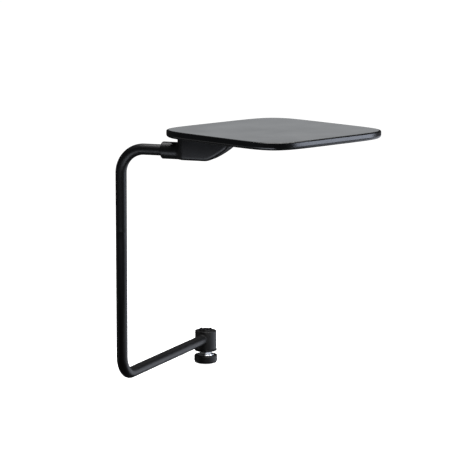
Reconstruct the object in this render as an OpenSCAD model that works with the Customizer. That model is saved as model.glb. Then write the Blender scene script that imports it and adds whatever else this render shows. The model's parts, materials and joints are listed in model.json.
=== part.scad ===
// Shelf on a two-part swivelling arm, hung on a threaded pivot.
// Z is up. The origin is the centre of the pivot sleeve's top face, and X runs along the
// shelf's diagonal at rest.

/* [Shelf] */
// Width of the shelf across its flats
shelf_w = 372; // [320:1:450]
// Squareness of the outline: 2 is a circle, 10 is nearly a square
shelf_squareness = 5.8; // [4:0.1:9]
// Thickness of the shelf with its top sheet
shelf_t = 17; // [15:0.5:30]
// Thickness of the hard top sheet
sheet_t = 1.2; // [1.1:0.1:2.5]
// Radius round the lower edge of the shelf
shelf_low_r = 7; // [1:0.5:9]
// Radius round the upper edge of the shelf
shelf_high_r = 3; // [1:0.5:5]
// Distance from the shelf's centre to its swivel, along the diagonal
shelf_offset = 146; // [60:1:150]
// Turn of the shelf's diagonal from the X axis at rest
shelf_turn = -0.8; // [-180:0.1:180]

/* [Shelf swivel] */
// Diameter of the steel plate let into the shelf
plate_d = 110; // [100:1:130]
// Thickness of that plate
plate_t = 3; // [2.6:0.1:4]
// Diameter of the circle of plate screws
plate_pcd = 88; // [72:1:98]
// Number of plate screws
plate_screws_n = 4; // [3:1:6]
// Diameter of the plate screws
plate_screw_d = 5; // [4:0.5:5]
// Diameter of the brass inserts in the shelf core
insert_d = 8; // [7:0.5:10]
// Depth of those inserts
insert_len = 9; // [6:0.5:9]
// Diameter of the swivel bolt
bolt_d = 12; // [8:1:14]
// Diameter of the swivel bolt's head
bolt_head_d = 24; // [20:1:30]
// Thickness of the swivel bolt's head
bolt_head_t = 4; // [2:0.5:6]
// Diameter of the bush flange that the plate turns on
slip_d = 48; // [40:1:50]
// Thickness of that flange
slip_t = 1.2; // [0.8:0.1:3]
// Thickness of one disc spring
spring_t = 1.5; // [1:0.1:2]
// Number of disc springs
springs_n = 3; // [1:1:4]
// Thickness of the swivel nut
bolt_nut_t = 8; // [5:0.5:9]

/* [Arm] */
// Outer diameter of the arm tube
tube_d = 25; // [20:0.5:28]
// Wall of the arm tube
tube_wall = 2; // [1.5:0.1:3]
// Radius of the lower bend, to the middle of the tube
lower_bend_r = 46; // [35:1:80]
// Radius of the upper bend, to the middle of the tube
upper_bend_r = 55; // [35:1:80]
// Height from the lower leg to the upper leg, middle to middle
arm_height = 514; // [430:1:700]
// Height of the seam in the upright above the lower leg
seam_height = 328; // [200:1:340]
// Length from the hub to the upright
lower_reach = 455; // [250:1:600]
// Length from the upright to the shelf's swivel
upper_reach = 200; // [190:1:300]
// Turn of the lower leg from the X axis at rest
lower_turn = 66.5; // [20:0.5:160]
// Turn of the upper leg from the X axis at rest
upper_turn = -19; // [-90:0.5:90]
// Length of the spigot on each side of the seam
spigot_len = 60; // [30:1:90]
// Wall of the plastic liner round the spigot
liner_wall = 1; // [0.8:0.1:2]
// Thickness of the liner's collar in the seam
liner_collar_t = 1.2; // [0.8:0.1:3]

/* [Bracket] */
// Diameter of the round collar
collar_d = 38; // [36:0.5:46]
// Length of the collar
collar_len = 40.5; // [25:0.5:50]
// Width of the housing at its top
housing_w = 58; // [56:1:80]
// Length of the housing from the swivel to the collar
housing_tail = 62; // [50:1:80]
// Length of the housing from the swivel to its nose
housing_nose = 76; // [54:1:90]
// Depth of the housing below the upper leg's middle
housing_drop = 18; // [17:0.5:24]
// Height of the shelf's underside above the upper leg's middle
shelf_rise = 32.3; // [30:0.1:50]
// Wall of the housing
housing_wall = 4; // [3:0.5:5]
// Thickness of the lid that carries the swivel
lid_t = 4; // [3:0.5:6]
// Diameter of the screws that hold the lid
lid_screw_d = 5; // [4:0.5:6]
// Length of those screws
lid_screw_len = 16; // [10:1:24]
// Radius where the keel starts to rise
keel_start_r = 34; // [20:1:60]
// Slope in degrees at the end of that first curve
keel_start_slope = 27; // [15:1:35]
// Radius of the long curve up to the nose
keel_rise_r = 200; // [140:5:300]
// Diameter of the grub screws in the collar
grub_d = 6; // [4:0.5:8]

/* [Hub] */
// Outer diameter of the hub
hub_d = 51.5; // [42:0.5:52]
// Height of the hub
hub_len = 45; // [40:1:70]
// Height of the leg's middle above the hub's middle
leg_rise = 2.5; // [-2:0.5:4]
// Bore of the hub
hub_bore_d = 30; // [27:0.5:36]
// Width of the weld round the leg
weld_w = 2; // [1:0.5:4]
// Diameter of the bush flange under the hub
bush_flange_d = 54.4; // [44:0.2:66]
// Thickness of the bush flange
bush_flange_t = 4; // [3:0.5:8]
// Height of the snap fingers above the hub
finger_h = 5; // [4:0.5:8]
// Angle that each snap finger covers
finger_angle = 76; // [40:1:80]
// Diameter of the pivot sleeve
sleeve_d = 22; // [18:0.5:24]
// Diameter of the sleeve's flange
sleeve_flange_d = 36; // [32:0.5:44]
// Thickness of the sleeve's flange
sleeve_flange_t = 2; // [1.5:0.5:5]
// Diameter of the thread at the top of the sleeve
frame_thread_d = 10; // [6:1:12]
// Depth of that thread
frame_thread_len = 18; // [10:1:18]

/* [Foot] */
// Diameter of the foot
foot_d = 55.5; // [54:0.5:80]
// Height of the foot with its sole
foot_h = 19.4; // [17:0.1:30]
// Radius round the foot's edges
foot_edge_r = 3; // [1:0.5:4]
// Diameter of the rubber sole
sole_d = 49; // [40:0.5:50]
// Thickness of the rubber sole
sole_t = 2.4; // [2:0.1:4]
// Diameter of the foot's screw
foot_screw_d = 10; // [8:1:12]
// Length of the screw inside the sleeve
foot_screw_len = 26; // [18:1:26]
// Width of the screw's hexagon across its flats
hex_w = 27; // [22:1:30]
// Height of the hexagon
hex_h = 5; // [3:0.5:8]
// Diameter of the flange under the hexagon
hex_flange_d = 40; // [36:1:46]
// Thickness of that flange
hex_flange_t = 2.6; // [1.5:0.1:5]

/* [Fits] */
// Gap all round a shaft that turns in its bore
turn_gap = 0.05; // [0.02:0.01:0.08]
// Gap all round a piece that is pushed or screwed into its seat
seat_gap = 0.05; // [0.02:0.01:0.1]
// Gap between faces that pass each other
pass_gap = 0.3; // [0.2:0.1:0.6]
// Step from the sleeve's top face down to the hub
hub_step = 1.5; // [0.5:0.1:2]

/* [Hidden] */
$fn = 64;
eps = 0.01;

black_coat = [0.09, 0.09, 0.095];
black_plastic = [0.07, 0.07, 0.075];
bright_steel = [0.8, 0.8, 0.82];
zinc = [0.62, 0.63, 0.64];
brass = [0.8, 0.65, 0.35];
shelf_grey = [0.2, 0.2, 0.21];

// Levels along the pivot axis, from the sleeve's top face down.
hub_top = -hub_step;
hub_bottom = hub_top - hub_len;
bush_bottom = hub_bottom - bush_flange_t;
sleeve_bottom = bush_bottom - sleeve_flange_t;
hex_top = sleeve_bottom - pass_gap / 2;
hex_bottom = hex_top - hex_h;
foot_top = hex_bottom - hex_flange_t;
foot_bottom = foot_top - foot_h;
sole_recess = 0.6;
spigot_d = foot_screw_d + 4;
spigot_end = foot_bottom + sole_t + pass_gap;
clip_t = 1.5;
clip_land = 4;
clip_d = spigot_d + 2 * clip_land;
clip_neck_d = spigot_d - 2;
clip_room = 1.4;
clip_top = foot_bottom + sole_t + clip_t + clip_room - 0.2;
clip_room_top = clip_top + 0.1;
barb = 1.2;
finger_lead = 0.6;
flange_bevel = 1.6;
hex_chamfer = 0.3;
hex_land = 2;

// Places and levels of the arm, the bracket and the shelf.
tube_bore_d = tube_d - 2 * tube_wall;
leg_z = hub_top - hub_len / 2 + leg_rise;
upper_z = leg_z + arm_height;
seam_z = leg_z + seam_height;
upper_tube_z = seam_z + liner_collar_t;
upright = -lower_reach * [cos(lower_turn), sin(lower_turn), 0];
swivel = upright + upper_reach * [cos(upper_turn), sin(upper_turn), 0];
pin_d = tube_bore_d - 2 * (seat_gap + liner_wall + turn_gap);
pin_bore_d = pin_d - 6;
socket_wall = 4;
tube_end_x = -housing_tail / 2 - socket_wall;

shelf_z = upper_z + shelf_rise;
housing_top = shelf_z - slip_t;
housing_bottom = upper_z - housing_drop;
housing_h = housing_top - housing_bottom;
lid_bottom = housing_top - lid_t;
lid_inset = housing_wall / 2;
tail_corner_r = 18;
nose_flat = 4;
keel_corner_r = 9;
keel_draft = 3;
rim_depth = 8;
lid_post_d = lid_screw_d + 7;
lid_screw_y = housing_w / 2 - housing_wall - 4.5;

// The lid screws lie on the plate screws' circle, so a driver reaches them through the plate's holes.
lid_screw_x = sqrt(pow(plate_pcd / 2, 2) - pow(lid_screw_y, 2));
screw_head_ratio = 1.9;
screw_cone_ratio = 0.45;

// The keel's two curves, about centres measured from where the keel starts to rise.
keel_c1 = [0, keel_start_r];
keel_c2 = keel_c1 + (keel_start_r - keel_rise_r) * [sin(keel_start_slope), -cos(keel_start_slope)];
keel_end_slope = acos((keel_c2[1] - housing_h) / keel_rise_r);
keel_start_x = housing_nose - keel_c2[0] - keel_rise_r * sin(keel_end_slope);

bush_wall = 2;
bush_barrel_d = bolt_d + 2 * (turn_gap + bush_wall);
spring_d = bolt_d + 12;
washer_t = 1.6;
slip_top = lid_bottom - turn_gap;
springs_top = slip_top - washer_t;
springs_bottom = springs_top - springs_n * spring_t;
nut_top = springs_bottom - washer_t;
bolt_end = nut_top - bolt_nut_t - 1;
core_top = shelf_z + shelf_t - sheet_t;
sheet_inset = shelf_high_r + 0.5;
sheet_bevel = 0.2;
shelf_sides = 96;
side_sag = 0.05;
flat_share = pow(2 * side_sag * shelf_squareness / shelf_w, 1 / shelf_squareness);

// Points along an arc of radius r about c, from angle a to angle b in n steps.
function arc(c, r, a, b, n = 8) = [for (i = [0:n])
    let (t = a + (b - a) * i / n) c + r * [cos(t), sin(t)]];

// Power curve that grows from 0 to 1: it spaces the outline's points evenly, past the flat middle of a side.
function eased(f) = f <= 0 ? 0 : pow(flat_share + (1 - flat_share) * f, shelf_squareness / 2);

// Angle of point i of the shelf outline, counted in eighths of a turn.
function outline_angle(i) = let (u = 8 * i / shelf_sides, k = floor(u), f = u - k)
    45 * (k + (k % 2 == 0 ? eased(f) : 1 - eased(1 - f)));

// Point i of the shelf outline: a square whose sides and corners follow one power curve.
function outline_point(half, i) = let (t = outline_angle(i), p = 2 / shelf_squareness)
    half * [sign(cos(t)) * pow(abs(cos(t)), p), sign(sin(t)) * pow(abs(sin(t)), p)];

// Slab of that outline, drawn in at each level of the list [level, inset].
module power_slab(levels) {
    n = shelf_sides;
    points = [for (l = levels) for (i = [0:n - 1])
        let (p = outline_point(shelf_w / 2 - l[1], i)) [p[0], p[1], l[0]]];
    sides = [for (k = [0:len(levels) - 2]) for (i = [0:n - 1])
        let (j = (i + 1) % n) [k * n + i, (k + 1) * n + i, (k + 1) * n + j, k * n + j]];
    low = [for (i = [0:n - 1]) i];
    high = [for (i = [0:n - 1]) (len(levels) - 1) * n + n - 1 - i];
    polyhedron(points, concat([low], sides, [high]), convexity = 4);
}

module ring(d, bore, z0, z1) {
    translate([0, 0, z0]) linear_extrude(z1 - z0) difference() {
        circle(d = d);
        circle(d = bore);
    }
}

module rod(d, z0, z1) {
    translate([0, 0, z0]) cylinder(d = d, h = z1 - z0);
}

module hexagon(w, z0, z1) {
    translate([0, 0, z0]) cylinder(d = w / cos(30), h = z1 - z0, $fn = 6);
}

// Countersunk screw that enters upwards from level z, or its hole when grow is above 0.
module countersunk(d, z, length, grow = 0) {
    head_d = screw_head_ratio * d + 2 * grow;
    translate([0, 0, z]) cylinder(d1 = head_d, d2 = d + 2 * grow, h = screw_cone_ratio * d);
    rod(d + 2 * grow, z, z + length);
}

module tube_section() {
    difference() {
        circle(d = tube_d);
        circle(d = tube_bore_d);
    }
}

// Quarter bend of radius r in the XZ plane, from the angle start, about the bend's own centre.
module bend(r, start) {
    rotate([90, 0, 0]) rotate([0, 0, start]) rotate_extrude(angle = 90, $fn = 96)
        translate([r, 0]) tube_section();
}

module at_upright(turn) {
    translate(upright) rotate([0, 0, turn]) children();
}

module at_swivel(turn) {
    translate(swivel) rotate([0, 0, turn]) children();
}

module along_x(x, z) {
    translate([x, 0, z]) rotate([0, 90, 0]) children();
}

module on_circle(d, n) {
    for (i = [0:n - 1]) rotate([0, 0, 360 * i / n]) translate([d / 2, 0, 0]) children();
}

module pivot_sleeve() {
    color(zinc) difference() {
        union() {
            rod(sleeve_d, sleeve_bottom, 0);
            rod(sleeve_flange_d, sleeve_bottom, bush_bottom);
        }
        rod(frame_thread_d, -frame_thread_len, 1);
        rod(foot_screw_d + 2 * turn_gap, sleeve_bottom - 1, hex_top + foot_screw_len + 1.5);
    }
}

module foot_puck() {
    r = foot_edge_r;
    x = foot_d / 2 - r;
    low = foot_bottom + sole_recess;
    color(black_plastic) difference() {
        rotate_extrude(convexity = 4) polygon(concat(
            [[0, low]], arc([x, low + r], r, -90, 0), arc([x, foot_top - r], r, 0, 90), [[0, foot_top]]
        ));
        rod(spigot_d + 2 * turn_gap, foot_bottom, foot_top + 1);
        rod(clip_d + 1, foot_bottom, clip_room_top);
        rod(sole_d + 2 * seat_gap, foot_bottom, foot_bottom + sole_t);
    }
}

module foot_sole() {
    r = 0.8;
    color(black_plastic) rotate_extrude() polygon(concat(
        [[0, foot_bottom]],
        arc([sole_d / 2 - r, foot_bottom + r], r, -90, 0, 4),
        [[sole_d / 2, foot_bottom + sole_t], [0, foot_bottom + sole_t]]
    ));
}

// Screw with its hexagon and flange, and the spigot that turns in the foot.
module foot_screw() {
    color(bright_steel) difference() {
        union() {
            rod(foot_screw_d, hex_bottom, hex_top + foot_screw_len);
            intersection() {
                hexagon(hex_w, hex_bottom - eps, hex_top);
                rotate_extrude() polygon([
                    [0, foot_top], [hex_w, foot_top], [hex_w, hex_top - hex_chamfer * hex_w],
                    [hex_w / 2 - 0.2, hex_top], [0, hex_top]
                ]);
            }
            rotate_extrude() polygon([
                [0, foot_top], [hex_flange_d / 2, foot_top],
                [hex_flange_d / 2, foot_top + hex_flange_t / 2],
                [hex_w / 2 + hex_land, hex_bottom], [0, hex_bottom]
            ]);
            rod(spigot_d, spigot_end, foot_top + eps);
        }
        ring(spigot_d + 1, clip_neck_d, clip_top - clip_t - seat_gap, clip_top + seat_gap);
    }
}

// Open ring in the groove near the lower end of the foot's screw.
module foot_clip() {
    slot = 4;
    color(zinc) difference() {
        ring(clip_d, clip_neck_d + 2 * seat_gap, clip_top - clip_t, clip_top);
        translate([0, -slot / 2, clip_top - clip_t - 1]) cube([clip_d, slot, clip_t + 2]);
    }
}

module pivot_hub() {
    bevel = 0.8;
    r = hub_d / 2;
    color(black_coat) rotate_extrude(convexity = 4) polygon([
        [hub_bore_d / 2, hub_bottom], [r - bevel, hub_bottom], [r, hub_bottom + bevel],
        [r, hub_top - bevel], [r - bevel, hub_top], [hub_bore_d / 2, hub_top]
    ]);
}

// Flanged bush with two snap fingers that hook over the hub's rim.
module hub_bush() {
    r = hub_bore_d / 2 - seat_gap;
    bore = sleeve_d / 2 + turn_gap;
    flange = bush_flange_d / 2;
    tip = hub_top + finger_h;
    slit = 1.5;
    slit_depth = 14;
    color(black_plastic) difference() {
        rotate_extrude(convexity = 6) polygon([
            [bore, bush_bottom], [flange - flange_bevel, bush_bottom], [flange, hub_bottom - flange_bevel],
            [flange - flange_bevel / 2, hub_bottom], [r, hub_bottom], [r, hub_top + barb / 8],
            [r + barb, hub_top + barb / 3], [r + barb, hub_top + 4 / 3 * barb],
            [r - finger_lead, tip], [bore, tip]
        ]);
        for (side = [0, 180]) rotate([0, 0, side + finger_angle / 2])
            rotate_extrude(angle = 180 - finger_angle) translate([bore - 1, hub_top])
                square([r, finger_h + 1]);
        for (side = [0, 180]) for (edge = [-1, 1]) rotate([0, 0, side + edge * finger_angle / 2])
            translate([bore - 1, -slit / 2, hub_top - slit_depth]) cube([r, slit, slit_depth + finger_h + 1]);
    }
}

// Bead that fills the corner between the lower leg and the hub.
module hub_weld() {
    color(black_coat) difference() {
        intersection() {
            at_upright(lower_turn) along_x(lower_reach - hub_d / 2 - weld_w - 2, leg_z)
                cylinder(d = tube_d + 2 * weld_w, h = hub_d / 2);
            rod(hub_d + 2 * weld_w, leg_z - tube_d, leg_z + tube_d);
        }
        rod(hub_d, leg_z - tube_d - 1, leg_z + tube_d + 1);
        at_upright(lower_turn) along_x(0, leg_z) cylinder(d = tube_d, h = lower_reach);
    }
}

module lower_tube() {
    r = lower_bend_r;
    color(black_coat) at_upright(lower_turn) difference() {
        union() {
            along_x(r, leg_z) linear_extrude(lower_reach - r) tube_section();
            translate([r, 0, leg_z + r]) bend(r, 180);
            translate([0, 0, leg_z + r]) linear_extrude(seam_height - r) tube_section();
        }
        translate([lower_reach, 0, leg_z - tube_d]) cylinder(d = hub_d, h = 2 * tube_d);
    }
}

// Plastic liner in the lower tube, with a thin collar in the seam.
module swivel_liner() {
    bore = pin_d + 2 * turn_gap;
    color(black_plastic) at_upright(0) {
        ring(tube_bore_d - 2 * seat_gap, bore, seam_z - spigot_len, seam_z + eps);
        ring(tube_d - 0.6, bore, seam_z, upper_tube_z);
    }
}

module upper_tube() {
    r = upper_bend_r;
    color(black_coat) at_upright(upper_turn) union() {
        translate([0, 0, upper_tube_z]) linear_extrude(upper_z - r - upper_tube_z) tube_section();
        translate([r, 0, upper_z - r]) bend(r, 90);
        along_x(r, upper_z) linear_extrude(upper_reach + tube_end_x - r) tube_section();
    }
}

// Spigot that is pressed into the upper tube and turns in the liner.
module swivel_spigot() {
    color(zinc) at_upright(upper_turn) union() {
        ring(tube_bore_d - 2 * seat_gap, pin_bore_d, upper_tube_z, upper_tube_z + spigot_len);
        ring(pin_d, pin_bore_d, seam_z - spigot_len + 1, upper_tube_z + eps);
    }
}

// Side view of the housing: flat keel, then two curves up to the nose.
module keel_side(inset = 0) {
    turn = keel_start_slope - 90;
    start = [keel_start_x, housing_bottom];
    polygon(concat(
        [[-housing_tail, housing_top + 1], [-housing_tail, housing_bottom + inset]],
        arc(start + keel_c1, keel_start_r - inset, -90, turn, 6),
        arc(start + keel_c2, keel_rise_r - inset, turn, keel_end_slope - 90, 10),
        [[housing_nose, housing_top + 1]]
    ));
}

// Plan of the housing: square at the collar, round at the nose.
module keel_plan(inset = 0) {
    w = housing_w / 2 - inset;
    corner = tail_corner_r - min(inset, tail_corner_r / 2);
    tail = corner - housing_tail + inset;
    nose_r = w - nose_flat / 2;
    nose = housing_nose - inset - nose_r;
    polygon(concat(
        arc([tail, corner - w], corner, 180, 270, 6),
        arc([nose, nose_r - w], nose_r, -90, 0, 12),
        arc([nose, w - nose_r], nose_r, 0, 90, 12),
        arc([tail, w - corner], corner, 90, 180, 6)
    ));
}

// End view of the housing: drawn in and rounded towards the keel.
module keel_end(inset = 0) {
    w = housing_w / 2 - inset;
    r = keel_corner_r - min(inset, keel_corner_r / 2);
    low = w - keel_draft;
    polygon(concat(
        [[w, housing_top + 1], [w, housing_top - rim_depth]],
        arc([low - r, housing_bottom + inset + r], r, 0, -90, 6),
        arc([r - low, housing_bottom + inset + r], r, -90, -180, 6),
        [[-w, housing_top - rim_depth], [-w, housing_top + 1]]
    ));
}

// The housing's outer form, or the room inside it when inset is the wall.
module keel(inset = 0) {
    intersection() {
        translate([0, 0, housing_bottom]) linear_extrude(housing_h) keel_plan(inset);
        rotate([90, 0, 0]) translate([0, 0, -housing_w]) linear_extrude(2 * housing_w) keel_side(inset);
        rotate([90, 0, 90]) translate([0, 0, -housing_tail - 1])
            linear_extrude(housing_tail + housing_nose + 2) keel_end(inset);
    }
}

module lid_screw_places() {
    for (end = [-1, 1]) for (side = [-1, 1]) translate([end * lid_screw_x, side * lid_screw_y, 0]) children();
}

module grub_places() {
    for (share = [0.3, 0.7]) translate([-housing_tail - share * collar_len, 0, 0]) children();
}

// Cast housing with the collar that grips the upper tube.
module bracket_housing() {
    round_r = 3;
    collar_x = -housing_tail - collar_len;
    socket_x = tube_end_x + socket_wall;
    color(black_coat) at_swivel(upper_turn) difference() {
        union() {
            along_x(collar_x, upper_z) rotate_extrude() polygon(concat(
                [[0, 0]], arc([collar_d / 2 - round_r, round_r], round_r, -90, 0, 6),
                [[collar_d / 2, collar_len + 8], [0, collar_len + 8]]
            ));
            keel();
        }
        difference() {
            keel(housing_wall);
            along_x(-housing_tail, upper_z) cylinder(d = collar_d, h = housing_tail + socket_x);
            translate([-housing_tail, -housing_wall / 2, housing_bottom])
                cube([housing_tail + socket_x, housing_wall, housing_drop]);
            lid_screw_places() rod(lid_post_d, housing_bottom, lid_bottom);
        }
        translate([0, 0, lid_bottom]) linear_extrude(lid_t + 1) keel_plan(lid_inset - seat_gap);
        along_x(collar_x - 1, upper_z)
            cylinder(d = tube_d + 2 * seat_gap, h = tube_end_x + seat_gap - collar_x + 1);
        grub_places() rod(grub_d + 2 * seat_gap, housing_bottom - collar_d, upper_z);
        lid_screw_places() rod(lid_screw_d + 2 * seat_gap, housing_top - lid_screw_len - 2, housing_top);
    }
}

module grub_screws() {
    color(zinc) at_swivel(upper_turn) grub_places()
        rod(grub_d, upper_z - collar_d / 2 + 0.5, upper_z - tube_d / 2 - seat_gap);
}

module bracket_lid() {
    color(zinc) at_swivel(upper_turn) difference() {
        translate([0, 0, lid_bottom]) linear_extrude(lid_t) keel_plan(lid_inset);
        rod(bush_barrel_d + 2 * seat_gap, lid_bottom - 1, housing_top + 1);
        lid_screw_places() mirror([0, 0, 1]) countersunk(lid_screw_d, -housing_top, lid_t + 1, seat_gap);
    }
}

module lid_screws() {
    color(zinc) at_swivel(upper_turn) lid_screw_places() mirror([0, 0, 1])
        countersunk(lid_screw_d, -housing_top, lid_screw_len);
}

// Flanged bush in the lid: the shelf plate turns on its flange.
module swivel_bush() {
    bore = bolt_d + 2 * turn_gap;
    color(black_plastic) at_swivel(upper_turn) union() {
        ring(slip_d, bore, housing_top, shelf_z);
        ring(bush_barrel_d, bore, lid_bottom, housing_top + eps);
    }
}

module swivel_washer_at(z) {
    at_swivel(shelf_turn) ring(spring_d + 1, bolt_d + 2 * seat_gap, z - washer_t, z);
}

module slip_washer() {
    color(black_plastic) swivel_washer_at(slip_top);
}

// Disc springs stacked in turn point up and point down.
module disc_springs() {
    plate = 0.6 * spring_t;
    bore = bolt_d / 2 + seat_gap;
    color(bright_steel) at_swivel(shelf_turn) for (i = [0:springs_n - 1])
        translate([0, 0, springs_top - (i + 0.5) * spring_t]) mirror([0, 0, i % 2]) rotate_extrude() polygon([
            [bore, spring_t / 2 - plate], [spring_d / 2, -spring_t / 2],
            [spring_d / 2, plate - spring_t / 2], [bore, spring_t / 2]
        ]);
}

module swivel_bolt() {
    head_z = shelf_z + plate_t;
    color(zinc) at_swivel(shelf_turn) union() {
        rod(bolt_d, bolt_end, head_z + eps);
        rod(bolt_head_d, head_z, head_z + bolt_head_t);
    }
}

module swivel_washer() {
    color(zinc) swivel_washer_at(springs_bottom);
}

module swivel_nut() {
    color(zinc) at_swivel(shelf_turn) difference() {
        hexagon(1.5 * bolt_d + 1, nut_top - bolt_nut_t, nut_top);
        rod(bolt_d + 2 * seat_gap, nut_top - bolt_nut_t - 1, nut_top + 1);
    }
}

module shelf_plate() {
    color(zinc) at_swivel(shelf_turn) difference() {
        rod(plate_d, shelf_z, shelf_z + plate_t);
        rod(bolt_d + 2 * seat_gap, shelf_z - 1, shelf_z + plate_t + 1);
        on_circle(plate_pcd, plate_screws_n) countersunk(plate_screw_d, shelf_z, plate_t + 1, seat_gap);
    }
}

module plate_screws() {
    color(zinc) at_swivel(shelf_turn) on_circle(plate_pcd, plate_screws_n)
        countersunk(plate_screw_d, shelf_z, plate_t + insert_len - 1);
}

module shelf_inserts() {
    z = shelf_z + plate_t;
    color(brass) at_swivel(shelf_turn) on_circle(plate_pcd, plate_screws_n)
        ring(insert_d, plate_screw_d + 2 * seat_gap, z, z + insert_len);
}

module shelf_outline_at() {
    at_swivel(shelf_turn) translate([shelf_offset, 0, 0]) rotate([0, 0, 45]) children();
}

// Shelf board with round edges, the seat of the top sheet, and the recess for the swivel plate below.
module shelf_core() {
    z = shelf_z + plate_t;
    top = shelf_z + shelf_t;
    color(shelf_grey) difference() {
        shelf_outline_at() difference() {
            power_slab(concat(
                [for (a = [0:18:90]) [shelf_z + shelf_low_r * (1 - cos(a)), shelf_low_r * (1 - sin(a))]],
                [for (a = [0:22.5:90]) [top - shelf_high_r * (1 - sin(a)), shelf_high_r * (1 - cos(a))]]
            ));
            power_slab([for (level = [core_top, top + 1]) [level, sheet_inset - seat_gap]]);
        }
        at_swivel(shelf_turn) {
            rod(plate_d + 2 * seat_gap, shelf_z - 1, z);
            rod(bolt_head_d + 1, shelf_z - 1, z + bolt_head_t + 0.5);
            on_circle(plate_pcd, plate_screws_n)
                rod(insert_d + 2 * seat_gap, shelf_z - 1, z + insert_len + 0.5);
        }
    }
}

module top_sheet() {
    top = shelf_z + shelf_t;
    color(shelf_grey) shelf_outline_at() power_slab([
        [core_top, sheet_inset], [top - sheet_bevel, sheet_inset], [top, sheet_inset + sheet_bevel]
    ]);
}

pivot_sleeve();
foot_puck();
foot_sole();
foot_screw();
foot_clip();
pivot_hub();
hub_bush();
hub_weld();
lower_tube();
swivel_liner();
upper_tube();
swivel_spigot();
bracket_housing();
grub_screws();
bracket_lid();
lid_screws();
swivel_bush();
slip_washer();
disc_springs();
swivel_bolt();
swivel_washer();
swivel_nut();
shelf_plate();
plate_screws();
shelf_inserts();
shelf_core();
top_sheet();
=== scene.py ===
import json
import math

import bmesh
import bpy
import numpy as np
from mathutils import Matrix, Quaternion, Vector


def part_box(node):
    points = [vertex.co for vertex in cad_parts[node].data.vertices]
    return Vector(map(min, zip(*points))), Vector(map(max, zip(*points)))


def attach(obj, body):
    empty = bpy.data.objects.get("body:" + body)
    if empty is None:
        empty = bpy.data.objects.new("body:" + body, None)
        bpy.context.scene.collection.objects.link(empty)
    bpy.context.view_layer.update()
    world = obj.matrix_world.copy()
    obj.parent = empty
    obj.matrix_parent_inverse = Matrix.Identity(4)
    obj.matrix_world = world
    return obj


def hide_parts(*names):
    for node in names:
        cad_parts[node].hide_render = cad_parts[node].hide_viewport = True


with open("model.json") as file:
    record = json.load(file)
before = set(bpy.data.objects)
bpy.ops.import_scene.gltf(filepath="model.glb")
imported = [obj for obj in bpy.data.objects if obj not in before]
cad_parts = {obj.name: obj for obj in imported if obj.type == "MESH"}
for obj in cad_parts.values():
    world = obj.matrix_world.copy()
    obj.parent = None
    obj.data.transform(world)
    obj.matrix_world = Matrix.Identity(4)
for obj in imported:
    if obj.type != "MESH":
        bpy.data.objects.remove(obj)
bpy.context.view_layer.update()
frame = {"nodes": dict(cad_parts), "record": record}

MM = 0.001
# Points nearer than same_place become one, and radii that differ by less than same_radius count as equal.
same_place, same_radius = 1e-7, 1e-9

record = frame["record"]
joints = {joint["name"]: joint for joint in record["behaviour"]["joints"]}
mounts = {mount["name"]: mount for mount in record["mounts"]}
body_of = {node: body for body, nodes in record["behaviour"]["bodies"].items() for node in nodes}
slot_of = {part["node"]: part["material_slot"] for part in record["subparts"]}


# ---- Places and sizes, in metres ----

def low(node):
    """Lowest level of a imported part."""
    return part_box(node)[0].z


def high(node):
    """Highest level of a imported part."""
    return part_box(node)[1].z


def flat_unit(vector):
    """The vector's level direction."""
    level = np.array([vector[0], vector[1], 0.0])
    return level / np.linalg.norm(level)


up = np.array([0.0, 0.0, 1.0])
upright = np.array(joints["upper_swivel"]["pos_m"])
swivel = np.array(joints["shelf_swivel"]["pos_m"])
shelf_middle = np.array(mounts["shelf_top"]["pos_m"])
lower_way = flat_unit(-upright)
upper_way = flat_unit(swivel - upright)
shelf_way = flat_unit(shelf_middle - swivel)
lower_side, upper_side, shelf_side = (np.cross(up, way) for way in (lower_way, upper_way, shelf_way))
upright_foot = np.array([upright[0], upright[1], 0.0])
swivel_foot = np.array([swivel[0], swivel[1], 0.0])

tube_r = 12.5 * MM
tube_bore_r = 10.5 * MM
lower_bend_r, upper_bend_r = 46 * MM, 55 * MM
lower_reach = np.linalg.norm(upright[:2])
leg_z = low("lower_tube") + tube_r
upper_z = high("upper_tube") - tube_r
upper_leg_end = 165 * MM

hub_r = (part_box("pivot_hub")[1].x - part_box("pivot_hub")[0].x) / 2
hub_bore_r = 15 * MM
weld_r = 1.9 * MM
bush_bore_r, bush_barrel_r = 11.05 * MM, 14.95 * MM
thread_r, thread_pitch, thread_depth = 5 * MM, 1.5 * MM, 0.45 * MM

shelf_w = 372 * MM
shelf_squareness = 5.8
shelf_low_r, shelf_high_r = 7 * MM, 3 * MM
sheet_inset, sheet_bevel, sheet_gap = 3.5 * MM, 0.2 * MM, 0.05 * MM
plate_seat_r = 55.05 * MM
bolt_pocket_r = 12.5 * MM
bolt_pocket_depth = 4.5 * MM
shelf_points = 480


# ---- Meshes worked out as arrays ----

crease_degrees = 35


def closed_grid(points, ring_of_rows):
    """Quads between neighbours of a rows x columns grid; the columns close on themselves, and so do the rows
    if asked."""
    rows, columns = points.shape[:2]
    r, c = np.meshgrid(np.arange(rows if ring_of_rows else rows - 1), np.arange(columns), indexing="ij")
    r2, c2 = (r + 1) % rows, (c + 1) % columns
    quads = np.stack([r * columns + c, r * columns + c2, r2 * columns + c2, r2 * columns + c], -1)
    return quads.reshape(-1, 4)


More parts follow.
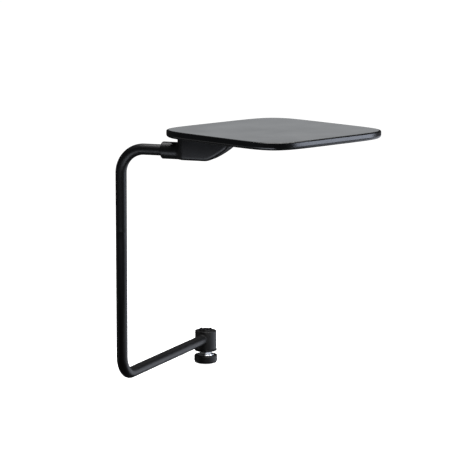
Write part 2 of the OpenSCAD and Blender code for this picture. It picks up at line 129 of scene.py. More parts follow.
def make_mesh(name, shells, sharp_degrees):
    """One mesh of several grids: equal points are joined, faces turned outwards, steep edges kept sharp."""
    points, faces, count = [], [], 0
    for grid, ring_of_rows in shells:
        points.append(grid.reshape(-1, 3))
        faces.append(closed_grid(grid, ring_of_rows) + count)
        count += grid.shape[0] * grid.shape[1]
    mesh = bpy.data.meshes.new(name)
    mesh.from_pydata(np.concatenate(points).tolist(), [], np.concatenate(faces).tolist())
    work = bmesh.new()
    work.from_mesh(mesh)
    bmesh.ops.remove_doubles(work, verts=work.verts, dist=same_place)
    bmesh.ops.recalc_face_normals(work, faces=work.faces)
    work.to_mesh(mesh)
    work.free()
    mesh.shade_smooth()
    mesh.set_sharp_from_angle(angle=math.radians(sharp_degrees))
    return mesh


def dress(node, shells, finish, sharp_degrees=crease_degrees):
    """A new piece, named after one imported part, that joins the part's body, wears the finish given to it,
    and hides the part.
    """
    piece = bpy.data.objects.new("shown_" + node, make_mesh("shown_" + node, shells, sharp_degrees))
    bpy.context.scene.collection.objects.link(piece)
    piece.data.materials.append(finish)
    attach(piece, body_of[node])
    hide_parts(node)
    return piece


def rounded(corners, steps=5, hold=0.25 * MM):
    """Outline whose corners (x, y, r) become arcs of radius r, each with a point a little before and after
    it that holds the flat faces flat."""
    outline = []
    for i, (x, y, r) in enumerate(corners):
        corner = np.array([x, y])
        if r == 0:
            outline.append(corner[None])
            continue
        back = np.array(corners[i - 1][:2]) - corner
        ahead = np.array(corners[(i + 1) % len(corners)][:2]) - corner
        back, ahead = back / np.linalg.norm(back), ahead / np.linalg.norm(ahead)
        half = math.acos(np.clip(back @ ahead, -1, 1)) / 2
        reach = r / math.tan(half)
        middle = corner + (back + ahead) / np.linalg.norm(back + ahead) * r / math.sin(half)
        sweep = math.pi - 2 * half
        t = np.linspace(0, 1, steps + 1)[:, None]
        first, last = corner + back * reach - middle, corner + ahead * reach - middle
        arc = middle + (np.sin((1 - t) * sweep) * first + np.sin(t * sweep) * last) / math.sin(sweep)
        outline.append(np.vstack([corner + back * (reach + hold), arc, corner + ahead * (reach + hold)]))
    return np.concatenate(outline)


def lathe(profile, columns=128, wave=None):
    """Profile (r, z) turned about the pivot axis; wave(r, z, angle) may change the radius."""
    angle = np.linspace(0, 2 * np.pi, columns, endpoint=False)
    r, z = np.repeat(profile[:, :1], columns, axis=1), np.repeat(profile[:, 1:], columns, axis=1)
    turn = np.broadcast_to(angle, r.shape)
    if wave:
        r = wave(r, z, turn)
    return np.stack([r * np.cos(turn), r * np.sin(turn), z], -1)


def tube_shell(centres, outwards, way, side, cope_weight, cope_r, end_round=0.5 * MM, columns=72):
    """Closed shell of a bent tube in an upright plane through the upright. Ring point = centre + r (cos t
    outward + sin t side); the rings run along the outer wall, round the end's edge, and back along the bore.
    Each point is drawn back by cope_weight times sqrt(cope_r^2 - (r sin t)^2), the saddle that fits a round
    hub: in full at the first ring, and less and less along the leg."""
    t = np.linspace(0, 2 * np.pi, columns, endpoint=False)

    def rings(r, rows):
        r = np.broadcast_to(r, (len(rows),))[:, None]
        cope = np.sqrt(np.maximum(cope_r ** 2 - (r * np.sin(t)) ** 2, 0)) if cope_r else 0
        along = centres[rows, :1] + outwards[rows, :1] * r * np.cos(t) - cope_weight[rows, None] * cope
        level = centres[rows, 1:] + outwards[rows, 1:] * r * np.cos(t)
        place = upright_foot + along[..., None] * way + level[..., None] * up
        return place + (r * np.sin(t))[..., None] * side

    n = len(centres)
    heading = centres[-1] - centres[-2]
    heading = heading / np.linalg.norm(heading)
    lip_rings = []
    for a in np.linspace(0, np.pi / 2, 5):
        ring = rings(tube_r - end_round * (1 - math.cos(a)), [n - 1])
        back = heading * end_round * (1 - math.sin(a))
        lip_rings.append(ring - back[0] * way - back[1] * up)
    return np.concatenate([rings(tube_r, range(n - 1)), *lip_rings, rings(tube_bore_r, range(n - 1, -1, -1))])


# ---- Finishes ----

def colour(hex_code):
    """Linear colour of an sRGB hex value."""
    value = np.array([int(hex_code[i:i + 2], 16) for i in (0, 2, 4)]) / 255
    linear = np.where(value <= 0.04045, value / 12.92, ((value + 0.055) / 1.055) ** 2.4)
    return (*linear, 1.0)


def add_node(tree, kind, inputs=(), **settings):
    """Adds a node, sets its settings, and sets or links its inputs."""
    made = tree.nodes.new(kind)
    for name, value in settings.items():
        setattr(made, name, value)
    for name, value in dict(inputs).items():
        if isinstance(value, bpy.types.NodeSocket):
            tree.links.new(value, made.inputs[name])
        else:
            made.inputs[name].default_value = value
    return made


# The grain's share in the drift of colour and roughness, and the range that most of the noise lies in.
grain_share = 0.4
noise_low, noise_high = 0.35, 0.65


def finish(name, dark, light, patch_mm, rough, grain_mm, grain_depth_mm, metal=0.0):
    """A finish whose colour drifts from dark to light over patches of patch_mm, whose roughness drifts with
    it, and whose surface has a grain of grain_mm, grain_depth_mm deep."""
    material = bpy.data.materials.new(name)
    material.use_nodes = True
    tree = material.node_tree
    tree.nodes.clear()
    place = add_node(tree, "ShaderNodeTexCoord").outputs["Object"]
    patch = add_node(tree, "ShaderNodeTexNoise",
                     {"Vector": place, "Scale": 1 / (patch_mm * MM), "Detail": 3.0}).outputs["Fac"]
    grain = add_node(tree, "ShaderNodeTexNoise",
                     {"Vector": place, "Scale": 1 / (grain_mm * MM), "Detail": 2.0}).outputs["Fac"]
    both = add_node(tree, "ShaderNodeMix", {"Factor": grain_share, "A": patch, "B": grain}).outputs["Result"]
    tone = add_node(tree, "ShaderNodeMapRange",
                    {"Value": both, "From Min": noise_low, "From Max": noise_high})
    ramp = add_node(tree, "ShaderNodeMix", {"Factor": tone.outputs["Result"]}, data_type="RGBA")
    for socket in ramp.inputs:
        if socket.type == "RGBA":
            socket.default_value = colour(dark) if socket.name == "A" else colour(light)
    rough_range = add_node(tree, "ShaderNodeMapRange",
                           {"Value": both, "From Min": noise_low, "From Max": noise_high,
                            "To Min": rough[0], "To Max": rough[1]})
    bump = add_node(tree, "ShaderNodeBump",
                    {"Height": grain, "Strength": 1.0, "Distance": grain_depth_mm * MM})
    colour_out = [socket for socket in ramp.outputs if socket.type == "RGBA"][0]
    shader = add_node(tree, "ShaderNodeBsdfPrincipled",
                      {"Base Color": colour_out, "Roughness": rough_range.outputs["Result"],
                       "Metallic": metal, "Normal": bump.outputs["Normal"]})
    add_node(tree, "ShaderNodeOutputMaterial", {"Surface": shader.outputs["BSDF"]})
    return material


# Patches and grains are in real millimetres. The real grain of the nylon, the oxide, the zinc, the brass and
# the laminate is finer than a tenth of a millimetre; it is drawn at 0.3 to 0.9 mm so that it shows at all.

# Powder coat on steel tube: the eye sees a deep black with a soft sheen and a fine orange peel.
tube_coat = finish("black_powder_coat_on_steel", "070708", "0c0c0e", 40, (0.4, 0.45), 1.2, 0.01)
# The same coat on die-cast aluminium: a little greyer and smoother, its sheen drifting over the casting.
cast_coat = finish("black_powder_coat_on_cast_aluminium", "0a0a0b", "101113", 22, (0.34, 0.4), 1.4, 0.012)
# Moulded nylon: black with a fine spark-eroded grain, duller than the coat.
plastic = finish("moulded_black_nylon", "070708", "0c0c0d", 18, (0.4, 0.5), 0.6, 0.012)
# Rubber: matt, slightly grey.
rubber = finish("matt_black_rubber", "131313", "1b1b1b", 12, (0.8, 0.92), 0.8, 0.03)
# Bright chrome plate: a mirror whose thin haze softens what it shows.
chrome = finish("bright_chrome_plate", "d9dcdf", "eceeef", 9, (0.13, 0.18), 1.5, 0.001, metal=1.0)
# Black oxide on turned steel: nearly black, with a metal's shine only where an edge catches the light.
oxide = finish("black_oxide_on_turned_steel", "101113", "1c1d1f", 4, (0.26, 0.36), 0.5, 0.004, metal=1.0)
# Bright zinc plate: a grey metal shine that clouds from place to place.
zinc = finish("bright_zinc_plate", "a9adb0", "c6c8c8", 5, (0.28, 0.42), 0.5, 0.004, metal=1.0)
# Turned brass: warm and slightly dull.
brass = finish("turned_brass", "b18e4a", "c9a55c", 3, (0.25, 0.38), 0.3, 0.003, metal=1.0)
# Black satin lacquer on board: even and smooth, with a soft line of light where an edge turns.
lacquer = finish("black_satin_lacquer", "0b0c0d", "101113", 60, (0.22, 0.27), 1.6, 0.001)
# Satin laminate: a dark grey top painted up to mid grey, a painted sheen of the light, with a fine even
# speckle and a soft sheen towards the light.
laminate = finish("satin_laminate_grey_painted_sheen", "787a7c", "808284", 90, (0.34, 0.4), 0.9, 0.006)

finish_of_slot = {
    "black_coat": tube_coat, "cast_coat": cast_coat, "black_plastic": plastic, "sole_rubber": rubber,
    "bright_chrome": chrome, "dark_steel": oxide, "zinc_steel": zinc, "insert_brass": brass,
    "shelf_board": lacquer, "shelf_laminate": laminate,
}
for node, part in frame["nodes"].items():
    part.data.materials.clear()
    part.data.materials.append(finish_of_slot[slot_of[node]])


# ---- Arm ----

# Rings along the lower leg, round a bend, and along each of the other straight lengths.
leg_rows, bend_rows, end_rows = 24, 33, 12
bend_angle = np.linspace(0, np.pi / 2, bend_rows)


def lower_tube():
    """Level leg from the hub, quarter bend, upright to the seam."""
    share = np.linspace(0, 1, leg_rows + 1)[:-1]
    leg = np.stack([lower_reach + (lower_bend_r - lower_reach) * share, np.full(leg_rows, leg_z)], 1)
    turn = np.stack([-np.sin(bend_angle), -np.cos(bend_angle)], 1)
    bend = np.array([lower_bend_r, leg_z + lower_bend_r]) + lower_bend_r * turn
    rise = np.linspace(leg_z + lower_bend_r, high("lower_tube"), end_rows + 1)[1:]
    post = np.stack([np.zeros(end_rows), rise], 1)
    centres = np.concatenate([leg, bend, post])
    below, behind = np.tile([0.0, -1.0], (leg_rows, 1)), np.tile([-1.0, 0.0], (end_rows, 1))
    outwards = np.concatenate([below, turn, behind])
    weight = np.concatenate([1 - share, np.zeros(bend_rows + end_rows)])
    return tube_shell(centres, outwards, lower_way, lower_side, weight, hub_r)


def upper_tube():
    """Upright from the seam, quarter bend, level leg into the bracket's collar."""
    rise = np.linspace(low("upper_tube"), upper_z - upper_bend_r, end_rows + 1)[:-1]
    post = np.stack([np.zeros(end_rows), rise], 1)
    turn = np.stack([-np.cos(bend_angle), np.sin(bend_angle)], 1)
    bend = np.array([upper_bend_r, upper_z - upper_bend_r]) + upper_bend_r * turn
    run = np.linspace(upper_bend_r, upper_leg_end, end_rows + 1)[1:]
    leg = np.stack([run, np.full(end_rows, upper_z)], 1)
    centres = np.concatenate([post, bend, leg])[::-1]
    behind, above = np.tile([-1.0, 0.0], (end_rows, 1)), np.tile([0.0, 1.0], (end_rows, 1))
    outwards = np.concatenate([behind, turn, above])[::-1]
    return tube_shell(centres, outwards, upper_way, upper_side, np.zeros(len(centres)), 0)


def weld_bead():
    """Rippled bead along the saddle where the leg meets the hub: the saddle point at angle t plus a flattened
    circle whose size swells by a tenth, ripples times round."""
    ripples, swell, flatness, lift = 26, 0.10, 0.75, 0.2
    t = np.linspace(0, 2 * np.pi, 360, endpoint=False)[:, None]
    u = np.linspace(0, 2 * np.pi, 20, endpoint=False)
    bead = weld_r * (1 + swell * np.abs(np.sin(ripples / 2 * t)) - swell / 2)
    out, away = tube_r + bead * flatness * np.cos(u), bead * np.sin(u)
    back = np.sqrt(hub_r ** 2 - (tube_r * np.sin(t)) ** 2)
    along = -back + away + lift * weld_r
    place = along[..., None] * lower_way + (out * np.sin(t))[..., None] * lower_side
    level = leg_z + out * np.cos(t)
    return place + level[..., None] * up


dress("lower_tube", [(lower_tube(), True)], tube_coat)
dress("upper_tube", [(upper_tube(), True)], tube_coat)
dress("hub_weld", [(weld_bead(), True)], tube_coat, sharp_degrees=60)


# ---- Hub and foot, all turned about the pivot axis ----

hub_top, hub_bottom = high("pivot_hub"), low("pivot_hub")
bush_bottom = low("hub_bush")
sleeve_bottom = low("pivot_sleeve")


def thread_groove(z, turn):
    """Depth of an M10 thread's groove: a triangle wave that climbs thread_pitch a turn."""
    climb = (z / thread_pitch - turn / (2 * np.pi)) % 1
    return thread_depth * (1 - np.abs(2 * climb - 1))


def hub():
    """Short thick pipe with softly broken edges."""
    edge = 1.1 * MM
    return lathe(rounded([
        (hub_bore_r, hub_bottom, edge / 2), (hub_r, hub_bottom, edge), (hub_r, hub_top, edge),
        (hub_bore_r, hub_top, edge / 2)]))


def bush():
    """Flanged bush: bevelled flange, barrel, and a low lip that stands round the sleeve."""
    flange_r, bevel, lip_top = 27.2 * MM, 1.6 * MM, hub_top + 3.0 * MM
    return lathe(rounded([
        (bush_bore_r, bush_bottom, 0.3 * MM), (flange_r - bevel, bush_bottom, 0.6 * MM),
        (flange_r, hub_bottom - bevel, 0.6 * MM), (flange_r - bevel / 2, hub_bottom, 0.3 * MM),
        (bush_barrel_r, hub_bottom, 0), (bush_barrel_r, lip_top, 0.4 * MM),
        (bush_bore_r, lip_top, 0.4 * MM)]))


def snap_finger(middle_turn):
    """Hooked profile carried through the finger's angle; both ends are drawn together to a point inside."""
    root, tip = hub_top - 6 * MM, high("hub_bush")
    hook_r, hook_low, hook_high = bush_barrel_r + 1.2 * MM, hub_top + 0.4 * MM, hub_top + 1.7 * MM
    profile = rounded([
        (bush_bore_r, root, 0), (bush_barrel_r, root, 0), (bush_barrel_r, hub_top + 0.1 * MM, 0.05 * MM),
        (hook_r, hook_low, 0.2 * MM), (hook_r, hook_high, 0.4 * MM),
        (bush_barrel_r - 0.5 * MM, tip, 0.5 * MM), (bush_bore_r, tip, 0.5 * MM)], hold=0.02 * MM)
    half_angle, steps = math.radians(38), 33
    sweep = np.linspace(-half_angle, half_angle, steps)
    turns = middle_turn + np.concatenate([[-half_angle], sweep, [half_angle]])
    sections = np.broadcast_to(profile, (steps + 2, *profile.shape)).copy()
    sections[[0, -1]] = profile.mean(0)
    r, z = sections[..., 0], sections[..., 1]
    return np.stack([r * np.cos(turns)[:, None], r * np.sin(turns)[:, None], z], -1)


def sleeve():
    """Turned steel sleeve with a flange below and an M10 thread in its upper end, where the groove's depth is
    added to the bore's radius."""
    sleeve_r, flange_r, screw_bore_r = 11 * MM, 18 * MM, 5.05 * MM
    web, thread_len, mouth, thread_rows = -25.15 * MM, 18 * MM, 0.9 * MM, 140
    outside = rounded([
        (0, web, 0), (screw_bore_r, web, 0), (screw_bore_r, sleeve_bottom, 0.3 * MM),
        (flange_r, sleeve_bottom, 0.4 * MM), (flange_r, bush_bottom, 0.3 * MM), (sleeve_r, bush_bottom, 0),
        (sleeve_r, 0, 0.6 * MM), (thread_r + mouth, 0, 0)])
    bore = np.stack([np.full(thread_rows, thread_r), np.linspace(-mouth, -thread_len, thread_rows)], 1)
    profile = np.vstack([outside, [[thread_r, -mouth]], bore, [[0, -thread_len]]])

    def wave(r, z, turn):
        in_bore = (r == thread_r) & (z < -mouth - 0.05 * MM) & (z > -thread_len + 0.1 * MM)
        return np.where(in_bore, r + thread_groove(z, turn), r)

    return lathe(profile, columns=96, wave=wave)


def foot():
    """Round foot with soft edges, a step near its floor edge and the seats for the sole and the clip."""
    top, bottom, foot_r = high("foot_puck"), low("foot_puck"), 27.75 * MM
    sole_r, sole_top = 24.55 * MM, high("foot_sole")
    clip_r, clip_top, bore_r = 11.5 * MM, high("foot_clip") + 0.1 * MM, 7.05 * MM
    step_r, step_low, step_high = foot_r - 1.2 * MM, bottom + 3.2 * MM, bottom + 3.8 * MM
    return lathe(rounded([
        (bore_r, clip_top, 0), (clip_r, clip_top, 0), (clip_r, sole_top, 0), (sole_r, sole_top, 0),
        (sole_r, bottom, 0.3 * MM), (foot_r - 1.6 * MM, bottom, 1.0 * MM), (step_r, step_low, 0.3 * MM),
        (foot_r, step_high, 0.5 * MM), (foot_r, top, 3 * MM), (bore_r, top, 0.5 * MM)], steps=8),
        columns=144)


def foot_screw():
    """Hexagon with chamfered corners on a bevelled flange, threaded above and plain below. On the hexagon
    the radius is the lesser of the flat's distance / cos(angle from its middle) and the chamfer's cone."""
    flange_r, flange_t, flange_side, flange_draft = 20 * MM, 2.6 * MM, 1.9 * MM, 0.45 * MM
    hex_flat_r, hex_corner_r, hex_h, chamfer_slope = 13.5 * MM, 15.6 * MM, 5 * MM, 1.73
    hex_top = sleeve_bottom - 0.15 * MM
    hex_bottom = hex_top - hex_h
    flange_bottom = hex_bottom - flange_t
    spigot_r, neck_r, thread_rows, hex_rows = 7 * MM, 6 * MM, 130, 14
    clip_top, clip_bottom = high("foot_clip") + 0.05 * MM, low("foot_clip") - 0.05 * MM
    end, top = low("foot_screw"), high("foot_screw")
    rod = np.stack([np.full(thread_rows, thread_r), np.linspace(hex_top, top - 1 * MM, thread_rows)], 1)
    profile = np.vstack([rounded([
        (0, end, 0), (spigot_r, end, 0.8 * MM), (spigot_r, clip_bottom, 0), (neck_r, clip_bottom, 0),
        (neck_r, clip_top, 0), (spigot_r, clip_top, 0), (spigot_r, flange_bottom, 0),
        (flange_r, flange_bottom, 0.2 * MM), (flange_r - flange_draft, flange_bottom + flange_side, 0.3 * MM),
        (hex_flat_r + 2 * MM, hex_bottom, 0.3 * MM), (hex_flat_r + 1 * MM, hex_bottom, 0)]),
        [[hex_corner_r, z] for z in np.linspace(hex_bottom, hex_top, hex_rows)],
        [[thread_r + 1 * MM, hex_top]], rod, [[thread_r - 1 * MM, top], [0, top]]])

    def wave(r, z, turn):
        to_flat = (turn + np.pi / 6) % (np.pi / 3) - np.pi / 6
        across = hex_flat_r / np.cos(to_flat)
        cone = hex_flat_r - 0.1 * MM + (hex_top - z) * chamfer_slope
        on_hex = np.abs(r - hex_corner_r) < same_radius
        on_rod = (np.abs(r - thread_r) < same_radius) & (z > hex_top + 0.3 * MM)
        thread = thread_r - thread_groove(z, turn)
        return np.where(on_hex, np.minimum(across, cone), np.where(on_rod, thread, r))

    return lathe(profile, columns=180, wave=wave)


dress("pivot_hub", [(hub(), True)], tube_coat)
dress("hub_bush", [(bush(), True), (snap_finger(0), False), (snap_finger(math.pi), False)], plastic)
dress("pivot_sleeve", [(sleeve(), False)], oxide)
dress("foot_puck", [(foot(), True)], plastic)
dress("foot_screw", [(foot_screw(), False)], chrome, sharp_degrees=25)


# ---- Shelf ----

def shelf_outline(inset):
    """Square with soft corners: |x/h|^n + |y/h|^n = 1, its points spaced evenly along the edge and its
    diagonal laid along the line from the swivel to the shelf's middle."""
    fine_points = 40001
    t = np.linspace(0, 2 * np.pi, fine_points)
    power = 2 / shelf_squareness
    x = np.sign(np.cos(t)) * np.abs(np.cos(t)) ** power
    y = np.sign(np.sin(t)) * np.abs(np.sin(t)) ** power
    run = np.concatenate([[0], np.cumsum(np.hypot(np.diff(x), np.diff(y)))])
    even = np.linspace(0, run[-1], shelf_points, endpoint=False)
    x, y = (shelf_w / 2 - inset) * np.array([np.interp(even, run, x), np.interp(even, run, y)])
    across, along = (x - y) / math.sqrt(2), (x + y) / math.sqrt(2)
    return shelf_middle[:2] + along[:, None] * shelf_way[:2] + across[:, None] * shelf_side[:2]


def at_level(outline, z):
    """The flat outline lifted to a level."""
    return np.column_stack([outline, np.full(len(outline), z)])


def one_point(place, z, count=shelf_points):
    """A row whose points all lie at one place, which closes a flat face at its middle."""
    return at_level(np.tile(place[:2], (count, 1)), z)


def edge_rows(z, r, start, end, steps=8):
    """Rows round an edge of radius r: level z + r sin a, drawn in by r (1 - cos a)."""
    return [at_level(shelf_outline(r * (1 - math.cos(a))), z + r * math.sin(a))
            for a in np.linspace(start, end, steps + 1)]


def about_swivel(outline, r, z):
    """Circle round the swivel, its points in line with the outline's."""
    offset = outline - swivel[:2]
    return at_level(swivel[:2] + r * offset / np.linalg.norm(offset, axis=1)[:, None], z)


def board():
    """Slab with round edges and a shallow seat for the sheet on top; its underside runs from the outline to
    the round seat of the swivel plate, down into that seat, and into the pocket over the bolt's head."""
    top, bottom = high("shelf_core"), low("shelf_core")
    sheet_seat, plate_seat = low("top_sheet"), high("shelf_plate")
    pocket_top = plate_seat + bolt_pocket_depth
    wall = sheet_inset - sheet_gap
    near, hold, bevel = 0.5 * MM, 0.3 * MM, 0.1 * MM
    rows = [one_point(shelf_middle, sheet_seat), at_level(shelf_outline(wall + near), sheet_seat),
            at_level(shelf_outline(wall), sheet_seat), at_level(shelf_outline(wall), top - bevel),
            at_level(shelf_outline(wall - bevel), top)]
    rows += edge_rows(top - shelf_high_r, shelf_high_r, np.pi / 2, 0)
    rows += [at_level(shelf_outline(0), top - shelf_high_r - hold),
             at_level(shelf_outline(0), bottom + shelf_low_r + hold)]
    rows += edge_rows(bottom + shelf_low_r, shelf_low_r, 0, -np.pi / 2, steps=12)
    rim = shelf_outline(shelf_low_r + near)
    rows += [at_level(rim, bottom)]
    rows += [about_swivel(rim, r, z) for r, z in (
        (plate_seat_r + 2 * hold, bottom), (plate_seat_r + hold, bottom), (plate_seat_r, bottom + hold),
        (plate_seat_r, plate_seat), (bolt_pocket_r, plate_seat), (bolt_pocket_r, pocket_top),
        (0, pocket_top))]
    return np.stack(rows)


def sheet():
    """Thin slab let into the board, with a fine bevel round its upper edge."""
    top, bottom = high("top_sheet"), low("top_sheet")
    near, upper_insets = 0.5 * MM, (sheet_bevel, 1 * MM, 6 * MM, 60 * MM)
    rows = [one_point(shelf_middle, bottom), at_level(shelf_outline(sheet_inset + near), bottom),
            at_level(shelf_outline(sheet_inset), bottom),
            at_level(shelf_outline(sheet_inset), top - sheet_bevel)]
    rows += [at_level(shelf_outline(sheet_inset + inset), top) for inset in upper_insets]
    return np.stack([*rows, one_point(shelf_middle, top)])


dress("shelf_core", [(board(), False)], lacquer)
# The sheet's mid grey is partly painted sheen of the light on a darker laminate.
dress("top_sheet", [(sheet(), False)], laminate)


# ---- Bracket ----

keel_drop = 18 * MM
housing_top, housing_bottom = high("bracket_housing"), upper_z - keel_drop
housing_w, housing_tail, housing_nose = 58 * MM, 62 * MM, 76 * MM
tail_corner_r, nose_flat, draft, rim_depth = 18 * MM, 4 * MM, 3 * MM, 8 * MM
collar_r, collar_len, collar_round, collar_end_x = 19 * MM, 40.5 * MM, 3 * MM, -30 * MM
keel_start_r, keel_rise_r, keel_slope = 34 * MM, 200 * MM, math.radians(27)
keel_edge_r, top_edge_r, collar_fillet = 8 * MM, 2.0 * MM, 7 * MM
lid_inset = 2 * MM


def corner_distance(a, b):
    """Distance to a square corner between two walls, from the distances a and b to each of them."""
    return np.hypot(np.maximum(a, 0), np.maximum(b, 0)) + np.minimum(np.maximum(a, b), 0)


def plan_distance(x, y):
    """Level distance to the housing's plan: corners of tail_corner_r at the collar, a round nose."""
    half = housing_w / 2
    nose_r = half - nose_flat / 2
    tx, ty = tail_corner_r - housing_tail - x, np.abs(y) - (half - tail_corner_r)
    nx, ny = x - (housing_nose - nose_r), np.abs(y) - nose_flat / 2
    return np.where(x < 0, corner_distance(tx, ty) - tail_corner_r, corner_distance(nx, ny) - nose_r)


def keel_distance(x, z):
    """Distance below the keel's side curve: flat, then an arc of keel_start_r up to keel_slope, then an arc
    of keel_rise_r up to the nose."""
    height = housing_top - housing_bottom
    step = keel_start_r - keel_rise_r
    drop = keel_start_r - step * math.cos(keel_slope)
    end_turn = math.acos((drop - height) / keel_rise_r)
    start_x = housing_nose - step * math.sin(keel_slope) - keel_rise_r * math.sin(end_turn)
    x1, z1 = start_x, housing_bottom + keel_start_r
    x2, z2 = x1 + step * math.sin(keel_slope), z1 - step * math.cos(keel_slope)
    turn = np.arctan2(x - x1, z1 - z)
    first = np.hypot(x - x1, z - z1) - keel_start_r
    second = np.hypot(x - x2, z - z2) - keel_rise_r
    return np.where(x < x1, housing_bottom - z, np.where(turn < keel_slope, first, second))


def soft_max(a, b, k):
    """The greater of two distances, with the corner between them rounded over k."""
    h = np.maximum(k - np.abs(a - b), 0) / k
    return np.maximum(a, b) + h * h * k / 4


def housing_distance(x, y, z):
    """Distance to the whole casting: plan drawn in towards the keel by the square of the depth below the rim,
    cut by the keel and the flat top, and joined to the round collar with a fillet."""
    taper_top, collar_x = housing_top - rim_depth, -housing_tail - collar_len
    taper = draft * np.clip((taper_top - z) / (taper_top - housing_bottom), 0, 1) ** 2
    box = soft_max(plan_distance(x, y) + taper, keel_distance(x, z), keel_edge_r)
    box = soft_max(box, z - housing_top, top_edge_r)
    cr = np.hypot(y, z - upper_z) - (collar_r - collar_round)
    cx = np.abs(x - (collar_x + collar_end_x) / 2) - ((collar_end_x - collar_x) / 2 - collar_round)
    return -soft_max(-box, -(corner_distance(cr, cx) - collar_round), collar_fillet)


def casting(rows=300, columns=176):
    """The casting's outside, seen from a point on the collar's axis inside it: along each direction the
    surface is where the distance passes zero, found by halving. The rows are spaced evenly on the surface."""
    eye_x, beyond, halvings, fine_points = -47 * MM, 170 * MM, 30, 6001

    def hit(turn, around):
        dx, dr = -np.cos(turn), np.sin(turn)
        dy, dz = dr * np.sin(around), dr * np.cos(around)
        near, far = np.zeros(turn.shape), np.full(turn.shape, beyond)
        for _ in range(halvings):
            mid = (near + far) / 2
            inside = housing_distance(eye_x + mid * dx, mid * dy, upper_z + mid * dz) < 0
            near, far = np.where(inside, mid, near), np.where(inside, far, mid)
        return np.stack([eye_x + near * dx, near * dy, upper_z + near * dz], -1)

    fine = np.linspace(0, np.pi, fine_points)
    run = np.zeros(fine_points)
    for around in (0, np.pi / 2, np.pi, np.pi / 4, 3 * np.pi / 4):
        line = hit(fine, np.full(fine_points, around))
        run[1:] += np.cumsum(np.linalg.norm(np.diff(line, axis=0), axis=1))
    turns = np.interp(np.linspace(0, run[-1], rows), run, fine)
    turn, around = np.meshgrid(turns, np.linspace(0, 2 * np.pi, columns, endpoint=False), indexing="ij")
    local = hit(turn, around)
    return swivel_foot + local[..., :1] * upper_way + local[..., 1:2] * upper_side + local[..., 2:] * up


def lid_seat():
    """Prism over the housing's plan, drawn in by lid_inset, from under the lid to above the rim."""
    half = housing_w / 2 - lid_inset
    corner_r, nose_r = tail_corner_r - lid_inset, half - nose_flat / 2
    tail_x, nose_x = tail_corner_r - housing_tail, housing_nose - lid_inset - nose_r
    quarter = np.linspace(0, np.pi / 2, 25)
    corners = [(nose_x, nose_flat / 2, nose_r, quarter),
               (tail_x, half - corner_r, corner_r, quarter + np.pi / 2),
               (tail_x, corner_r - half, corner_r, quarter + np.pi),
               (nose_x, -nose_flat / 2, nose_r, quarter + 1.5 * np.pi)]
    plan = np.concatenate([np.stack([x + r * np.cos(a), y + r * np.sin(a)], 1) for x, y, r, a in corners])
    flat = swivel[:2] + plan[:, :1] * upper_way[:2] + plan[:, 1:] * upper_side[:2]
    seat, above = low("bracket_lid"), housing_top + 5 * MM
    return np.stack([one_point(flat.mean(0), seat, len(flat)), at_level(flat, seat), at_level(flat, above),
                     one_point(flat.mean(0), above, len(flat))])


def cut(piece, shells):
    """Takes a closed form out of a piece and keeps the result as its mesh."""
    tool = bpy.data.objects.new("tool", make_mesh("tool", shells, sharp_degrees=30))
    bpy.context.scene.collection.objects.link(tool)
    boolean = piece.modifiers.new("seat", "BOOLEAN")
    boolean.operation, boolean.solver, boolean.object = "DIFFERENCE", "EXACT", tool
    bpy.context.view_layer.update()
    result = bpy.data.meshes.new_from_object(piece.evaluated_get(bpy.context.evaluated_depsgraph_get()))
    piece.modifiers.clear()
    piece.data = result
    bpy.data.objects.remove(tool)
    result.shade_smooth()
    result.set_sharp_from_angle(angle=math.radians(crease_degrees))


cut(dress("bracket_housing", [(casting(), False)], cast_coat), [(lid_seat(), False)])


# ---- Floor, light and camera ----

def floor():
    """Flat sheet just under the foot's lowest place, pale enough to read as paper white, and clear when it is
    looked at from underneath."""
    half, gap = 40.0, 0.5 * MM
    z = low("foot_sole") - joints["foot_travel"]["range_m"][1] - gap
    corners = [(-half, -half, z), (half, -half, z), (half, half, z), (-half, half, z)]
    mesh = bpy.data.meshes.new("floor")
    mesh.from_pydata(corners, [], [(0, 1, 2, 3)])
    sheet_object = bpy.data.objects.new("floor", mesh)
    bpy.context.scene.collection.objects.link(sheet_object)
    paper = bpy.data.materials.new("white_studio_paper")
    paper.use_nodes = True
    tree = paper.node_tree
    tree.nodes.clear()
    underneath = add_node(tree, "ShaderNodeNewGeometry").outputs["Backfacing"]
    solid = add_node(tree, "ShaderNodeMapRange", {"Value": underneath, "To Min": 1.0, "To Max": 0.0})
    shader = add_node(tree, "ShaderNodeBsdfPrincipled",
                      {"Base Color": colour("f2f2f2"), "Roughness": 1.0, "Specular IOR Level": 0.0,
                       "Alpha": solid.outputs["Result"],
                       "Emission Color": colour("ffffff"), "Emission Strength": 1.0})
    add_node(tree, "ShaderNodeOutputMaterial", {"Surface": shader.outputs["BSDF"]})
    mesh.materials.append(paper)
    sheet_object.visible_glossy = False
    sheet_object.visible_diffuse = False
    sheet_object.visible_shadow = False


def studio_sky():
    """Even white behind the object: seen_strength where the camera sees it, and only lit_strength as light on
    the object."""
    lit_strength, seen_strength = 0.045, 1.1
    world = bpy.data.worlds.new("studio")
    bpy.context.scene.world = world
    world.use_nodes = True
    tree = world.node_tree
    tree.nodes.clear()
    seen = add_node(tree, "ShaderNodeLightPath").outputs["Is Camera Ray"]
    strength = add_node(tree, "ShaderNodeMapRange",
                        {"Value": seen, "To Min": lit_strength, "To Max": seen_strength})
    light = add_node(tree, "ShaderNodeBackground",
                     {"Color": (1, 1, 1, 1), "Strength": strength.outputs["Result"]})
    add_node(tree, "ShaderNodeOutputWorld", {"Surface": light.outputs["Background"]})


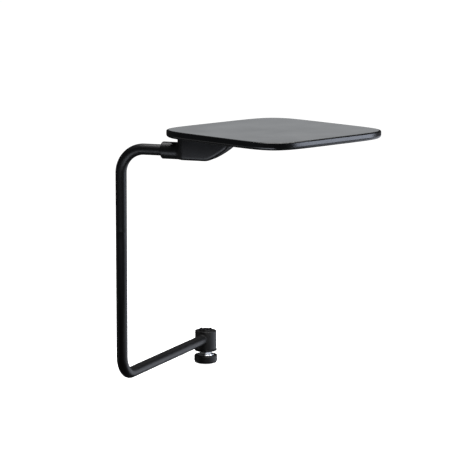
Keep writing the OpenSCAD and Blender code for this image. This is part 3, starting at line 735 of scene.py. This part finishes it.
def soft_box(name, place, target, width, height, radiance, tint="ffffff", spread=180):
    """Rectangular light at place facing target; its power gives the face the radiance asked for. A spread
    under 180 degrees keeps its light off what stands beside it."""
    data = bpy.data.lights.new(name, "AREA")
    data.shape, data.size, data.size_y = "RECTANGLE", width, height
    data.energy = radiance * math.pi * width * height
    data.color = colour(tint)[:3]
    data.spread = math.radians(spread)
    lamp = bpy.data.objects.new(name, data)
    lamp.location = place
    lamp.rotation_mode = "QUATERNION"
    lamp.rotation_quaternion = (Vector(target) - Vector(place)).to_track_quat("-Z", "Y")
    lamp.visible_camera = False
    bpy.context.scene.collection.objects.link(lamp)


floor()
studio_sky()
# Lights the top of the shelf and the upper edges of the tubes.
soft_box("overhead", (0.35, -0.2, 2.3), (0.25, -0.2, 0.0), 1.8, 2.0, 5.6)
# Gives the light band along the shelf's right rim.
soft_box("right_box", (2.4, -0.6, 0.38), (0.3, -0.6, 0.5), 1.3, 0.5, 6.5, "e6eeff")
# These two give the sheen low on the right of the tubes, the hub and the foot.
soft_box("low_panel_right", (1.7, 0.85, -0.5), (0.0, -0.2, 0.0), 2.1, 1.4, 1.3, "eef3ff")
soft_box("low_panel_side", (1.9, -0.75, -0.35), (0.3, -0.6, 0.5), 1.1, 0.9, 0.8, "eef3ff")
# Gives the faint sheen on their left.
soft_box("low_panel_left", (-1.8, -0.1, -0.45), (0.0, 0.0, -0.05), 1.2, 0.5, 0.4)
# Lights the bracket's near side, more so towards the keel and the nose.
soft_box("low_panel_front", (-0.65, -1.45, -0.12), (-0.65, -1.45, 1.0), 1.6, 1.0, 2.9, "eef3ff", spread=140)
# The bright field that the chrome flange mirrors; its narrow spread keeps it off the upright.
soft_box("hub_card", (0.2, -0.40, 0.09), (0.0, 0.0, -0.055), 0.6, 0.12, 0.9, spread=80)

# Camera fitted to the photograph, in metres; its focal length is in the photograph's pixels.
camera_place = Vector((0.07007, -5.6624, 1.1579))
camera_aim = Vector((0.07007, -0.41726, 0.2990))
camera_roll = math.radians(0.1)
photo_width = 470
focal_pixels = 2400
camera_data = bpy.data.cameras.new("photo_view")
camera_data.sensor_width = 36
camera_data.lens = focal_pixels / photo_width * camera_data.sensor_width
camera_data.clip_end = 100
camera = bpy.data.objects.new("photo_view", camera_data)
bpy.context.scene.collection.objects.link(camera)
camera.location = camera_place
camera.rotation_mode = "QUATERNION"
camera_turn = (camera_aim - camera_place).to_track_quat("-Z", "Y")
camera.rotation_quaternion = camera_turn @ Quaternion((0, 0, 1), camera_roll)
bpy.context.scene.camera = camera
bpy.context.scene.view_settings.view_transform = "Standard"
